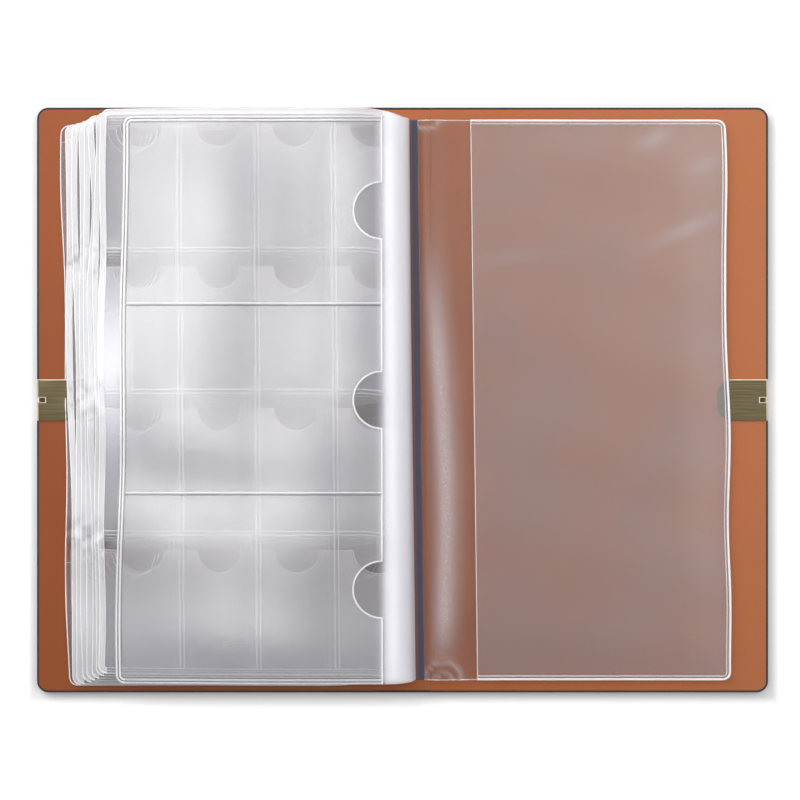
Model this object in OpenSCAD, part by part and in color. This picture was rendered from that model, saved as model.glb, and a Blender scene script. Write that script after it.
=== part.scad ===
// Pressed penny album, lying open and flat on a table.
// X runs from the front fore-edge to the back fore-edge, Y from tail to head, Z up.
// The origin is the middle of the open album, on the table.
// Penny leaves and one card leaf lie turned over to the left, the end leaf lies to the right.
// Every leaf is a base film with pocket film welded on its upper side, and stands with its root
// on a binding strip, from where the film bends over on its own radius to lie flat.

/* [Penny leaves] */
// Number of penny leaves
penny_leaves = 8; // [6:1:9]
// Pocket columns on a penny leaf
penny_columns = 4; // [3:1:5]
// Pocket rows on a penny leaf
penny_rows = 4; // [3:1:5]
// Clear width of a penny pocket between its seams
penny_pocket_w = 25.8; // [22:0.2:30]
// Height of a leaf from tail to head
leaf_h = 199; // [180:1:215]
// Plain strip of film between the last penny pocket and the root
penny_root_strip = 4.2; // [2:0.2:8]
// Height left open above each row of penny pockets
penny_mouth = 6; // [4:0.5:10]
// Radius of the half-round thumb notch of a penny pocket
penny_notch_r = 7.7; // [5:0.1:10]

/* [Card leaf and end leaf] */
// Card pockets on the card leaf, one above the other
card_rows = 3; // [2:1:4]
// Clear width of a card pocket, from the edge seam to its open side
card_pocket_w = 89.7; // [80:0.1:95]
// Radius of the half-round thumb notch of a card pocket
card_notch_r = 10; // [7:0.5:14]
// Flat film between the open side of the card pockets and the bend
card_root_strip = 1.8; // [1:0.1:5]
// Clear width of the tall pocket on the end leaf
end_pocket_w = 88; // [75:0.5:92]
// Flat film between the open side of the tall pocket and the bend
end_root_strip = 16.8; // [10:0.2:20]
// Radius on which the end leaf bends over at its root
end_bend_r = 1.2; // [0.8:0.1:3]

/* [Film and seams] */
// Thickness of one film
film_t = 0.15; // [0.1:0.01:0.2]
// Room between the two films, for a rolled coin or a card
pocket_gap = 0.7; // [0.5:0.05:0.75]
// Distance from one leaf to the next in the stack
leaf_pitch = 1.2; // [1.15:0.05:1.6]
// Bend radius of the lowest leaf
first_bend_r = 0.5; // [0.4:0.05:1]
// Width of the double seam around the edge of a leaf
edge_seam_w = 2.3; // [1.8:0.1:2.6]
// Width of one bead of the edge seam
edge_bead_w = 0.7; // [0.4:0.05:0.8]
// Width of a seam between two pockets
line_seam_w = 1.4; // [1:0.1:2]
// Radius of the fore-edge corners of a leaf
leaf_corner_r = 3; // [2.7:0.1:6]

/* [Binding] */
// Thickness of the binding strip
binding_t = 0.25; // [0.15:0.05:0.5]
// How far the binding strip reaches past the outermost roots
binding_margin = 1; // [0.5:0.1:2]
// Distance from the root of the card leaf to the root of the end leaf
end_leaf_gap = 2.8; // [2.4:0.1:5]
// How far the roots sit towards the back cover from the middle of the spine
pack_offset = 1.2; // [0:0.1:2]

/* [Cover] */
// Thickness of the leatherette skin
skin_t = 0.6; // [0.55:0.05:1]
// Thickness of the stiff boards
board_t = 1.5; // [1.3:0.1:2.5]
// Thickness of the brown lining
lining_t = 0.5; // [0.3:0.05:0.8]
// Width of the skin's turned-up rim around the lining
rim_w = 0.7; // [0.6:0.05:1.5]
// Radius of the four cover corners
cover_corner_r = 4; // [2:0.5:8]
// How far the cover stands past the leaves at head and tail
head_square = 4.5; // [2:0.5:10]
// How far the cover stands past the longest leaf at the fore-edge
fore_square = 10; // [4:0.5:15]
// Board left beside the outermost roots on each side of the spine
spine_margin = 3.8; // [3:0.1:8]
// Clearance between the board edges when a cover stands upright
hinge_clear = 0.4; // [0.2:0.05:1]

/* [Clips] */
// Thickness of the brass sheet
clip_t = 0.5; // [0.3:0.05:0.55]
// Length of a clip from the fore-edge inwards
clip_l = 17.8; // [14:0.2:24]
// Height of a clip along the fore-edge
clip_h = 14.6; // [12:0.2:20]
// Radius of the two inner corners of a clip
clip_corner_r = 5; // [2:0.5:6]
// Outside radius of the fold around the fore-edge
clip_fold_r = 0.9; // [0.6:0.05:1.2]
// Width of the catch notch in the fold
catch_w = 1.7; // [1:0.1:3]
// Depth of the catch notch
catch_l = 3; // [1.5:0.1:4]
// Clearance between a clip and the skin around it
clip_clear = 0.1; // [0.05:0.05:0.4]

/* [Magnets] */
// Length of the bar magnet, along the fore-edge
magnet_h = 10; // [6:0.5:11]
// Width of the bar magnet
magnet_w = 7; // [4:0.5:8]
// Thickness of the bar magnet
magnet_t = 1; // [0.6:0.1:1.2]
// Clearance around the magnet in its board
magnet_clear = 0.1; // [0.05:0.05:0.3]
// Board between the magnet and the fore-edge rim
magnet_inset = 4.5; // [3:0.5:6]

/* [Hidden] */
$fn = 96;
over = 1;
quarter_turn = PI / 2;
// Angle of one facet where pockets run over a bend
facet_turn = 5;

// Heights
cover_t = skin_t + board_t + lining_t;
root_z = cover_t + binding_t;
hinge_z = skin_t + board_t / 2;
leaf_t = 2 * film_t + pocket_gap;

// Roots of the leaves, and the spine that carries them
card_bend_r = first_bend_r + penny_leaves * leaf_pitch;
pack_w = card_bend_r - first_bend_r + end_leaf_gap;
bend_x = pack_offset - pack_w / 2 - first_bend_r;
end_root_x = bend_x + card_bend_r + end_leaf_gap;
spine_w = pack_w + 2 * spine_margin;
binding_x = [bend_x + first_bend_r - binding_margin, end_root_x + binding_margin];

// Lengths of the leaves
column_pitch = penny_pocket_w + line_seam_w;
row_pitch = leaf_h / penny_rows;
card_pitch = leaf_h / card_rows;
penny_leaf_l = edge_seam_w + penny_columns * column_pitch + penny_root_strip;
card_flat = edge_seam_w + card_pocket_w + card_root_strip;
end_flat = edge_seam_w + end_pocket_w + end_root_strip;

// The cover panels, hinged so that their upper edges clear the spine when they stand upright
hinge_gap = 2 * (cover_t - hinge_z + hinge_clear);
panel_x = spine_w / 2 + hinge_gap;
leaf_reach = max(penny_flat(1) - bend_x, card_flat - bend_x, end_root_x + end_bend_r + end_flat);
panel_w = leaf_reach + fore_square - panel_x;
cover_h = leaf_h + 2 * head_square;
lined_h = cover_h - 2 * rim_w;
magnet_x = panel_w - rim_w - magnet_inset - magnet_w;

LEAF_PARTS = ["root", "sheet", "pockets", "seams"];
COVER_PARTS = ["skin", "board", "lining", "clip", "magnet"];

skin_colour = "#22222b";
board_colour = "#a3927a";
lining_colour = "#b96f42";
brass_colour = "#96855a";
magnet_colour = "#55565a";
binding_colour = "#3f4a70";
film_colour = [0.85, 0.86, 0.9, 0.35];
seam_colour = [0.95, 0.95, 0.98, 0.6];

function penny_node(k, part) = str("penny_leaf_", k, "_", part);
function penny_bend_r(k) = first_bend_r + (k - 1) * leaf_pitch;
function penny_flat(k) = penny_leaf_l - quarter_turn * penny_bend_r(k);
// Where column line j of leaf k lies, from the start of the flat film, below zero inside the bend
function column_u(k, j) = penny_flat(k) - edge_seam_w - j * column_pitch;
function pocket_start(k) = column_u(k, penny_columns);
// Angle, in whole facets, that a length of film takes up on a bend
function on_facets(length, bend_r) = max(1, round(length / bend_r * 180 / PI / facet_turn)) * facet_turn;
// Angle that the pockets of leaf k take up on the bend
function pocket_turn(k) = pocket_start(k) < 0 ? on_facets(-pocket_start(k), penny_bend_r(k)) : 0;
// Corners of a faceted arc round the bend, with angle 0 at its flat end
function facet_arc(r, from, to) =
    [for (a = [from:sign(to - from) * facet_turn:to]) r * [-sin(a), cos(a)]];
function row_y(i) = -leaf_h / 2 + i * row_pitch;
// The mouth above the top row runs out past the head of the leaf
function mouth_over(i) = i == penny_rows ? over : 0;
function card_y(i) = -leaf_h / 2 + i * card_pitch;

// Frames: each leaf and cover is drawn towards +X from its hinged side, with its underside at zero

module left_leaf(bend_r) {
    translate([bend_x, 0, root_z + bend_r - film_t / 2]) mirror([1, 0, 0]) children();
}

module right_leaf(bend_r) {
    translate([end_root_x + bend_r, 0, root_z + bend_r - film_t / 2]) children();
}

module on_side(side) {
    if (side == "front") mirror([1, 0, 0]) children();
    else children();
}

module cover_panel(side) {
    on_side(side) translate([panel_x, 0, 0]) children();
}

// Outlines

// A panel from u0 to u1 with its two corners at u1 rounded
module tab(u0, u1, h, r) {
    translate([u0, -h / 2]) square([u1 - r - u0, h]);
    translate([u0, r - h / 2]) square([u1 - u0, h - 2 * r]);
    for (s = [-1, 1]) translate([u1 - r, s * (h / 2 - r)]) circle(r);
}

// A tab drawn in by an inset on its three outer sides
module inset_tab(u0, u1, h, r, inset) {
    tab(u0, u1 - inset, h - 2 * inset, r - inset);
}

// One bead around the three outer sides of a leaf
module edge_bead(u0, u1, inset) {
    difference() {
        inset_tab(u0, u1, leaf_h, leaf_corner_r, inset);
        inset_tab(u0 - over, u1, leaf_h, leaf_corner_r, inset + edge_bead_w);
    }
}

module edge_seam(u0, u1) {
    edge_bead(u0, u1, 0);
    edge_bead(u0, u1, edge_seam_w - edge_bead_w);
}

// A seam between two pockets, along X or along Y
module seam_along_x(u0, u1, y) {
    translate([u0, y]) square([u1 - u0, line_seam_w]);
}

module seam_along_y(u, y0, y1) {
    translate([u, y0]) square([line_seam_w, y1 - y0]);
}

// A band round a bend, drawn with flat facets from one angle to another, and from y to y + h
module facet_strip(bend_r, r_in, r_out, from, to, y, h) {
    if (to > from) translate([0, y + h, film_t / 2 - bend_r]) rotate([90, 0, 0]) linear_extrude(h)
        polygon(concat(facet_arc(r_out, from, to), facet_arc(r_in, to, from)));
}

// Leaf parts

// A quarter bend of plain film, from the flat leaf down to the root
module bent_film(bend_r) {
    reach = bend_r + film_t;
    translate([0, leaf_h / 2, film_t / 2 - bend_r]) rotate([90, 0, 0]) linear_extrude(leaf_h) intersection() {
        difference() {
            circle(bend_r + film_t / 2);
            circle(bend_r - film_t / 2);
        }
        translate([-reach, 0]) square(reach);
    }
}

module base_film(flat) {
    color(film_colour) linear_extrude(film_t) tab(0, flat, leaf_h, leaf_corner_r);
}

module pocket_film() {
    color(film_colour) translate([0, 0, film_t + pocket_gap]) linear_extrude(film_t) children();
}

module seam_layer() {
    color(seam_colour) translate([0, 0, film_t]) linear_extrude(pocket_gap) children();
}

module penny_notches(k) {
    for (i = [1:penny_rows], j = [1:penny_columns])
        translate([column_u(k, j) + (line_seam_w + column_pitch) / 2, row_y(i) - penny_mouth])
            circle(penny_notch_r);
}

// The bend of leaf k with the pockets that run on over it, cut from one band as thick as the leaf:
// the film outside the pockets, the room in each pocket, the mouth above each row and the notches
module bent_pockets(k) {
    r = penny_bend_r(k);
    turn = pocket_turn(k);
    seam_turn = on_facets(line_seam_w, r);
    base_r = r + film_t / 2;
    film_r = base_r + pocket_gap;
    past_r = film_r + film_t + over;
    difference() {
        facet_strip(r, r - film_t / 2, film_r + film_t, 0, 90, -leaf_h / 2, leaf_h);
        facet_strip(r, base_r, past_r, turn, 90, -leaf_h / 2 - over, leaf_h + 2 * over);
        for (i = [0:penny_rows - 1]) {
            y = row_y(i) + line_seam_w;
            facet_strip(r, base_r, film_r, -facet_turn, turn - seam_turn, y, row_y(i + 1) - penny_mouth - y);
            facet_strip(r, base_r, past_r, -facet_turn, turn + facet_turn, row_y(i + 1) - penny_mouth,
                penny_mouth + mouth_over(i + 1));
        }
        intersection() {
            facet_strip(r, base_r, past_r, -facet_turn, turn, -leaf_h / 2, leaf_h);
            translate([0, 0, -r]) linear_extrude(2 * r + leaf_t) penny_notches(k);
        }
    }
}

module penny_root(k) {
    color(film_colour) left_leaf(penny_bend_r(k)) {
        if (pocket_turn(k) > 0) bent_pockets(k);
        else bent_film(penny_bend_r(k));
    }
}

module penny_sheet(k) {
    left_leaf(penny_bend_r(k)) base_film(penny_flat(k));
}

module penny_pockets(k) {
    u0 = max(0, pocket_start(k));
    left_leaf(penny_bend_r(k)) pocket_film() difference() {
        tab(u0, penny_flat(k), leaf_h, leaf_corner_r);
        for (i = [1:penny_rows])
            translate([u0 - over, row_y(i) - penny_mouth]) square([penny_leaf_l, penny_mouth + mouth_over(i)]);
        penny_notches(k);
    }
}

module penny_seams(k) {
    u0 = pocket_start(k) >= 0 ? pocket_start(k) + line_seam_w / 2 : 0;
    u1 = penny_flat(k) - edge_seam_w / 2;
    y1 = leaf_h / 2 - edge_seam_w / 2;
    left_leaf(penny_bend_r(k)) seam_layer() {
        edge_seam(u0, penny_flat(k));
        for (i = [1:penny_rows - 1]) seam_along_x(u0, u1, row_y(i));
        for (j = [1:penny_columns]) if (column_u(k, j) >= 0) seam_along_y(column_u(k, j), -y1, y1);
    }
}

module card_leaf_root() {
    color(film_colour) left_leaf(card_bend_r) bent_film(card_bend_r);
}

module card_leaf_sheet() {
    left_leaf(card_bend_r) base_film(card_flat);
}

module card_leaf_pockets() {
    left_leaf(card_bend_r) pocket_film() difference() {
        tab(card_root_strip, card_flat, leaf_h, leaf_corner_r);
        for (i = [0:card_rows - 1]) translate([card_root_strip, card_y(i) + card_pitch / 2]) circle(card_notch_r);
    }
}

module card_leaf_seams() {
    left_leaf(card_bend_r) seam_layer() {
        edge_seam(card_root_strip, card_flat);
        for (i = [1:card_rows - 1])
            seam_along_x(card_root_strip, card_flat - edge_seam_w / 2, card_y(i) - line_seam_w / 2);
    }
}

module end_leaf_root() {
    color(film_colour) right_leaf(end_bend_r) bent_film(end_bend_r);
}

module end_leaf_sheet() {
    right_leaf(end_bend_r) base_film(end_flat);
}

module end_leaf_pockets() {
    right_leaf(end_bend_r) pocket_film() tab(end_root_strip, end_flat, leaf_h, leaf_corner_r);
}

module end_leaf_seams() {
    right_leaf(end_bend_r) seam_layer() edge_seam(end_root_strip, end_flat);
}

// Binding and spine

module binding_strip() {
    color(binding_colour) translate([binding_x[0], -leaf_h / 2, cover_t])
        cube([binding_x[1] - binding_x[0], leaf_h, binding_t]);
}

// A trough of skin, open at both sides, with its rims turned up at head and tail
module skin_strip(x0, x1) {
    color(skin_colour) difference() {
        translate([x0, -cover_h / 2, 0]) cube([x1 - x0, cover_h, cover_t]);
        translate([x0 - over, -lined_h / 2, skin_t]) cube([x1 - x0 + 2 * over, lined_h, cover_t]);
    }
}

module lining_strip(x0, x1) {
    color(lining_colour) translate([x0, -lined_h / 2, skin_t + board_t]) cube([x1 - x0, lined_h, lining_t]);
}

module spine_skin() { skin_strip(-spine_w / 2, spine_w / 2); }

module spine_lining() { lining_strip(-spine_w / 2, spine_w / 2); }

module spine_board() {
    color(board_colour) translate([-spine_w / 2, -lined_h / 2, skin_t]) cube([spine_w, lined_h, board_t]);
}

module hinge_skin(side) { on_side(side) skin_strip(spine_w / 2, panel_x); }

module hinge_lining(side) { on_side(side) lining_strip(spine_w / 2, panel_x); }

// Covers

// Plan of a clip, grown by a clearance, running past the fore-edge by a length
module clip_plan(clear, past) {
    mirror([1, 0, 0]) translate([-panel_w - past, 0])
        tab(0, past + clip_l + clear, clip_h + 2 * clear, clip_corner_r + clear);
}

module cover_skin(side) {
    color(skin_colour) cover_panel(side) difference() {
        linear_extrude(cover_t) tab(0, panel_w, cover_h, cover_corner_r);
        translate([0, 0, skin_t]) linear_extrude(cover_t)
            inset_tab(-over, panel_w, cover_h, cover_corner_r, rim_w);
        translate([0, 0, -over]) linear_extrude(skin_t + 2 * over) clip_plan(clip_clear, over);
        translate([panel_w - rim_w, -clip_h / 2 - clip_clear, -over])
            cube([rim_w + over, clip_h + 2 * clip_clear, cover_t + 2 * over]);
    }
}

module cover_board(side) {
    pocket = [magnet_w + 2 * magnet_clear, magnet_h + 2 * magnet_clear];
    color(board_colour) cover_panel(side) translate([0, 0, skin_t]) difference() {
        linear_extrude(board_t) inset_tab(0, panel_w, cover_h, cover_corner_r, rim_w);
        translate([magnet_x - magnet_clear, -pocket[1] / 2, board_t - magnet_t])
            cube([pocket[0], pocket[1], magnet_t + over]);
    }
}

module cover_lining(side) {
    color(lining_colour) cover_panel(side) translate([0, 0, skin_t + board_t])
        linear_extrude(lining_t) inset_tab(0, panel_w, cover_h, cover_corner_r, rim_w);
}

module cover_magnet(side) {
    color(magnet_colour) cover_panel(side)
        translate([magnet_x, -magnet_h / 2, skin_t + board_t - magnet_t]) cube([magnet_w, magnet_h, magnet_t]);
}

// Section of a clip: a sheet folded round the fore-edge, as seen along the album
module clip_section() {
    low = skin_t - clip_t;
    high = cover_t + clip_t;
    difference() {
        translate([panel_w, (low + high) / 2]) mirror([1, 0, 0]) rotate(180)
            tab(-clip_l, 0, high - low, clip_fold_r);
        translate([panel_w - clip_l - over, skin_t]) square([clip_l + over - clip_t, high - low - 2 * clip_t]);
    }
}

module cover_clip(side) {
    color(brass_colour) cover_panel(side) difference() {
        intersection() {
            rotate([90, 0, 0]) linear_extrude(clip_h, center = true) clip_section();
            linear_extrude(2 * cover_t) clip_plan(0, 0);
        }
        translate([panel_w - catch_l, -catch_w / 2, -over]) cube([catch_l + over, catch_w, cover_t * 2]);
    }
}

// Assembly

spine_skin();
spine_board();
spine_lining();
binding_strip();
for (side = ["front", "back"]) {
    hinge_skin(side);
    hinge_lining(side);
    cover_skin(side);
    cover_board(side);
    cover_lining(side);
    cover_clip(side);
    cover_magnet(side);
}
for (k = [1:penny_leaves]) {
    penny_root(k);
    penny_sheet(k);
    penny_pockets(k);
    penny_seams(k);
}
card_leaf_root();
card_leaf_sheet();
card_leaf_pockets();
card_leaf_seams();
end_leaf_root();
end_leaf_sheet();
end_leaf_pockets();
end_leaf_seams();
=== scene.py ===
# %% [markdown]
# # A pressed-penny album, lying open
#
# The album has a thin lined cover with two brass clips, and ten clear leaves that stand on a strip in the
# gutter. Nine leaves lie turned over to the left, one lies to the right. The imported model is loaded first
# as a fixed frame, and its box is kept.

# %% Load the frame
import math

import bmesh
import bpy
import numpy as np
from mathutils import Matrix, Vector
from mathutils.geometry import delaunay_2d_cdt


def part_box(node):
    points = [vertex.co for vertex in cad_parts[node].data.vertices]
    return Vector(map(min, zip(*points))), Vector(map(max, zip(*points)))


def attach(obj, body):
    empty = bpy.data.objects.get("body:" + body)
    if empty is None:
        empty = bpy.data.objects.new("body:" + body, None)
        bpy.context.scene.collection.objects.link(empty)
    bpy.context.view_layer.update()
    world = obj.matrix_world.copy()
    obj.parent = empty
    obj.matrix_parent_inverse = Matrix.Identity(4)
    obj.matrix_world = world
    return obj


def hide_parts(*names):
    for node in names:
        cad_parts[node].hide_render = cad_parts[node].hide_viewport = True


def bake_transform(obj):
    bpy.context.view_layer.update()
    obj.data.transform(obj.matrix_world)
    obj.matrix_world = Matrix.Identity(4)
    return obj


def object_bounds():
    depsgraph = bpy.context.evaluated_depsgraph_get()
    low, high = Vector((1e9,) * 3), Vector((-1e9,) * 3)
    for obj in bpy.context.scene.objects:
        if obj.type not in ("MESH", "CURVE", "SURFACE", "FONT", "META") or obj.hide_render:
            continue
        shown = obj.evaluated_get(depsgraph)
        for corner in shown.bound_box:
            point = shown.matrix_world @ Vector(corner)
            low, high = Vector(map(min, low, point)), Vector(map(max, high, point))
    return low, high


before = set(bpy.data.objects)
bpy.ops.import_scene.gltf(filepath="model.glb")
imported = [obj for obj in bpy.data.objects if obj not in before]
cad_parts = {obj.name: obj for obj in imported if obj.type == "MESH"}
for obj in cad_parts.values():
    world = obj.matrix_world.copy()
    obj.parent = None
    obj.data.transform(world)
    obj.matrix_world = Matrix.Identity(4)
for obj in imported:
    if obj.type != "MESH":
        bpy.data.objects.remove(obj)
cad_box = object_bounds()
scene = bpy.context.scene
MM = 0.001
print("CAD box in mm:", [round(x / MM, 2) for x in cad_box[1] - cad_box[0]])

# %% [markdown]
# ## Camera
#
# The photograph looks straight down. A card pocket is a known size, so it gives the scale of the picture:
# 2.8 pixels to a millimetre on the table. The camera stands well back, as a product camera does, which
# keeps the raised leaves from growing towards the lens.

# %% Camera
IMAGE_PX = 800
PX_PER_MM = 2.80
CAMERA_HEIGHT = 650 * MM
CAMERA_X = -0.9 * MM
SENSOR = 36

view_width = IMAGE_PX / PX_PER_MM * MM
camera_data = bpy.data.cameras.new("camera")
camera_data.sensor_width = SENSOR
camera_data.lens = SENSOR * CAMERA_HEIGHT / view_width
camera = bpy.data.objects.new("camera", camera_data)
camera.location = (CAMERA_X, 0, CAMERA_HEIGHT)
scene.collection.objects.link(camera)
scene.camera = camera
print("lens in mm:", round(camera_data.lens, 1))

# %% [markdown]
# ## Node helpers
#
# Every finish is a small node tree. One helper starts an empty material, another adds a node, sets its
# plain values on its own sockets and links the sockets that it is given. The rest are short forms for the
# noise, sums, colour ramps and bumps that the finishes share.

# %% Node helpers
def start_finish(name):
    finish = bpy.data.materials.new(name)
    finish.use_nodes = True
    finish.node_tree.nodes.clear()
    return finish, finish.node_tree


def add_node(tree, kind, inputs=None, **settings):
    node = tree.nodes.new(kind)
    for key, value in settings.items():
        setattr(node, key, value)
    for socket, value in (inputs or {}).items():
        if isinstance(value, bpy.types.NodeSocket):
            tree.links.new(value, node.inputs[socket])
        else:
            node.inputs[socket].default_value = value
    return node


def noise_of(tree, scale, detail, stretch=(1, 1, 1)):
    """A noise value that keeps its place on the album, stretched along an axis if asked."""
    place = add_node(tree, "ShaderNodeTexCoord")
    scaled = add_node(tree, "ShaderNodeMapping", {"Vector": place.outputs["Object"], "Scale": stretch})
    values = {"Vector": scaled.outputs[0], "Scale": scale, "Detail": detail}
    return add_node(tree, "ShaderNodeTexNoise", values).outputs["Fac"]


def between(tree, value, low, high, from_low=0.3, from_high=0.7):
    """A value mapped to run from low to high. Most of a noise lies in the span that is the default."""
    spread = {"Value": value, "From Min": from_low, "From Max": from_high, "To Min": low, "To Max": high}
    return add_node(tree, "ShaderNodeMapRange", spread).outputs[0]


def combine(tree, operation, *values):
    return add_node(tree, "ShaderNodeMath", dict(enumerate(values)), operation=operation).outputs[0]


def mix_colours(tree, share, first, second, **settings):
    values = {0: share, 6: first, 7: second}
    return add_node(tree, "ShaderNodeMix", values, data_type="RGBA", **settings).outputs[2]


def colours(tree, value, *stops):
    """A colour that follows a value through evenly spaced stops."""
    ramp = add_node(tree, "ShaderNodeValToRGB", {"Fac": value})
    points = ramp.color_ramp.elements
    while len(points) < len(stops):
        points.new(0.5)
    for i, stop in enumerate(stops):
        points[i].position = i / (len(stops) - 1)
        points[i].color = (*stop, 1)
    return ramp.outputs["Color"]


def end_finish(tree, shader):
    output = add_node(tree, "ShaderNodeOutputMaterial")
    tree.links.new(shader.outputs[0], output.inputs["Surface"])


def grain_bump(tree, height, strength, distance):
    values = {"Height": height, "Strength": strength, "Distance": distance}
    return add_node(tree, "ShaderNodeBump", values).outputs["Normal"]


# %% [markdown]
# ## Film
#
# The leaves are soft clear vinyl. Light goes through it, a little is scattered as haze, and some is
# mirrored by its skin, more at a flat angle. A glass shader would bend the view through each thin sheet and
# needs many bounces, so the film mixes a see-through shader with a matt haze and a gloss. Shadow rays
# mostly pass, because the light that haze takes out of a beam stays among the leaves. An attribute of the
# mesh raises the haze and whitens it along the bend of each leaf, near the fore-edges of the upper penny
# leaves and on the hump, curls and some patches of the end leaf: a painted highlight.

# %% Film finish
EDGE_ON_AND_GLINT_COLOUR = (0.89, 0.88, 0.92)
EDGE_ON_HAZE, GLINT_HAZE = 0.8, 0.32
SLANT_POWER, MIRROR_POWER = 2.0, 5.0
CLOUD_SCALE, CLOUD_SPREAD = 30.0, 0.2
FILM_GRAIN, FILM_GRAIN_DEPTH, SPECKLE = 1400.0, 0.06 * MM, 0.15
SHADOW_PASS = 0.7


def make_film(name, haze, haze_colour, roughness, gloss, grain=0.0):
    finish, tree = start_finish(name)
    skin_normal = {}
    facing = add_node(tree, "ShaderNodeLayerWeight", {"Blend": 0.5}).outputs["Facing"]
    slant, steep = (combine(tree, "POWER", facing, power) for power in (SLANT_POWER, MIRROR_POWER))
    # Painted highlight: the attribute adds a white haze where the film should catch the light.
    painted_glint = add_node(tree, "ShaderNodeAttribute", attribute_name="painted_glint").outputs["Fac"]
    clouds = noise_of(tree, CLOUD_SCALE, detail=1.0)
    cloudy = between(tree, clouds, (1 - CLOUD_SPREAD) * haze, (1 + CLOUD_SPREAD) * haze)
    if grain:
        fine = noise_of(tree, FILM_GRAIN, detail=2.0)
        skin_normal = {"Normal": grain_bump(tree, fine, grain, FILM_GRAIN_DEPTH)}
        speckle = between(tree, fine, 1 - SPECKLE, 1 + SPECKLE)
        painted_glint, cloudy = (combine(tree, "MULTIPLY", value, speckle) for value in (painted_glint, cloudy))
    whitened = combine(tree, "MULTIPLY_ADD", painted_glint, GLINT_HAZE, cloudy)
    thick = combine(tree, "MULTIPLY_ADD", slant, EDGE_ON_HAZE, whitened)
    clear = add_node(tree, "ShaderNodeBsdfTransparent")
    tint = colours(tree, combine(tree, "MAXIMUM", slant, painted_glint), haze_colour, EDGE_ON_AND_GLINT_COLOUR)
    matt = add_node(tree, "ShaderNodeBsdfDiffuse", {"Color": tint, **skin_normal})
    film = add_node(tree, "ShaderNodeMixShader", {0: thick, 1: clear.outputs[0], 2: matt.outputs[0]})
    mirror = add_node(tree, "ShaderNodeBsdfGlossy", {"Roughness": roughness, **skin_normal})
    share = between(tree, steep, gloss, 1.0, 0.0, 1.0)
    skin = add_node(tree, "ShaderNodeMixShader", {0: share, 1: film.outputs[0], 2: mirror.outputs[0]})
    ray = add_node(tree, "ShaderNodeLightPath").outputs["Is Shadow Ray"]
    passing = between(tree, ray, 0.0, SHADOW_PASS, 0.0, 1.0)
    lit = {0: passing, 1: skin.outputs[0], 2: clear.outputs[0]}
    end_finish(tree, add_node(tree, "ShaderNodeMixShader", lit))
    return finish


# %% [markdown]
# The album has a few kinds of film. All leaves are the same vinyl, but the films lower in the stack, the
# base films of the first leaf, the card and the end leaf, and the groove lines get darker haze colours than
# the upper pocket films: painted shade. The end leaf has a fine grain. Where two films are fused, or a cut
# edge stands up as a bead, the film is whiter still. Each kind is the same node tree with its own numbers,
# so they are easy to compare.

# %% Kinds of film
base_film = make_film("base_film", haze=0.065, haze_colour=(0.19, 0.18, 0.19), roughness=0.20, gloss=0.02)
penny_film = make_film("penny_film", haze=0.10, haze_colour=(0.23, 0.22, 0.245), roughness=0.26, gloss=0.02)
top_film = make_film("top_film", haze=0.15, haze_colour=(0.61, 0.60, 0.66), roughness=0.27, gloss=0.06)
first_film = make_film("first_film", haze=0.11, haze_colour=(0.10, 0.09, 0.095), roughness=0.30, gloss=0.03)
card_base_film = make_film(
    "card_base_film", haze=0.06, haze_colour=(0.14, 0.135, 0.14), roughness=0.27, gloss=0.01)
card_film = make_film("card_film", haze=0.09, haze_colour=(0.62, 0.61, 0.69), roughness=0.27, gloss=0.12)
clear_film = make_film(
    "clear_film", haze=0.11, haze_colour=(0.06, 0.055, 0.057), roughness=0.42, gloss=0.03, grain=0.15)
frosted_film = make_film(
    "frosted_film", haze=0.125, haze_colour=(0.41, 0.37, 0.38), roughness=0.34, gloss=0.035, grain=0.3)
fused_film = make_film("fused_film", haze=0.35, haze_colour=(0.85, 0.85, 0.875), roughness=0.20, gloss=0.08)
bright_seam = make_film("bright_seam", haze=0.75, haze_colour=(0.93, 0.93, 0.95), roughness=0.15, gloss=0.15)
rim_seam = make_film("rim_seam", haze=0.30, haze_colour=(0.90, 0.90, 0.92), roughness=0.15, gloss=0.10)
faint_seam = make_film("faint_seam", haze=0.18, haze_colour=(0.85, 0.85, 0.87), roughness=0.15, gloss=0.06)
# Painted shade: a dark film drawn beside the card's welds where the grooves are shaded.
painted_shade_weld = make_film("painted_shade_weld", haze=0.30, haze_colour=(0.10, 0.098, 0.10), roughness=0.20, gloss=0.02)
print("kinds of film:", sum(m.name.endswith(("_film", "_seam", "_weld")) for m in bpy.data.materials))

# %% [markdown]
# ## Cover finishes
#
# The lining is smooth brown leatherette with a fine grain. Its colour is darkened towards the front cover and
# the tail, which is painted shade.
# The skin is nearly black with a coarser grain. A picture of leather would repeat, so the grain is noise:
# it mottles the colour, bumps the surface and breaks up the gloss.

# %% Leatherette
LEATHER_SHEEN = 0.3
MOTTLE_SCALE = 12.0
PORE_STRENGTH, PORE_GLOSS, PORE_DULL = 0.35, 0.06, 0.08
# Painted shade darkens the lining towards the front cover and the tail.
SHADE_FRONT, SHADE_TAIL = 0.8, 0.32
PAINTED_SHADE_TINT = (0.56, 0.41, 0.28, 1)
SHADE_X, SHADE_Y = 130 * MM, 100 * MM


def painted_shade_tint(tree, tint):
    """A tint darkened towards the front cover and the tail: painted shade."""
    place = add_node(tree, "ShaderNodeTexCoord").outputs["Object"]
    axes = add_node(tree, "ShaderNodeSeparateXYZ", {0: place}).outputs
    along = between(tree, axes["X"], SHADE_FRONT, 0.0, -SHADE_X, SHADE_X)
    down = between(tree, axes["Y"], SHADE_TAIL, 0.0, -SHADE_Y, SHADE_Y)
    return mix_colours(tree, combine(tree, "ADD", along, down), tint, PAINTED_SHADE_TINT, blend_type="MULTIPLY")


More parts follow.
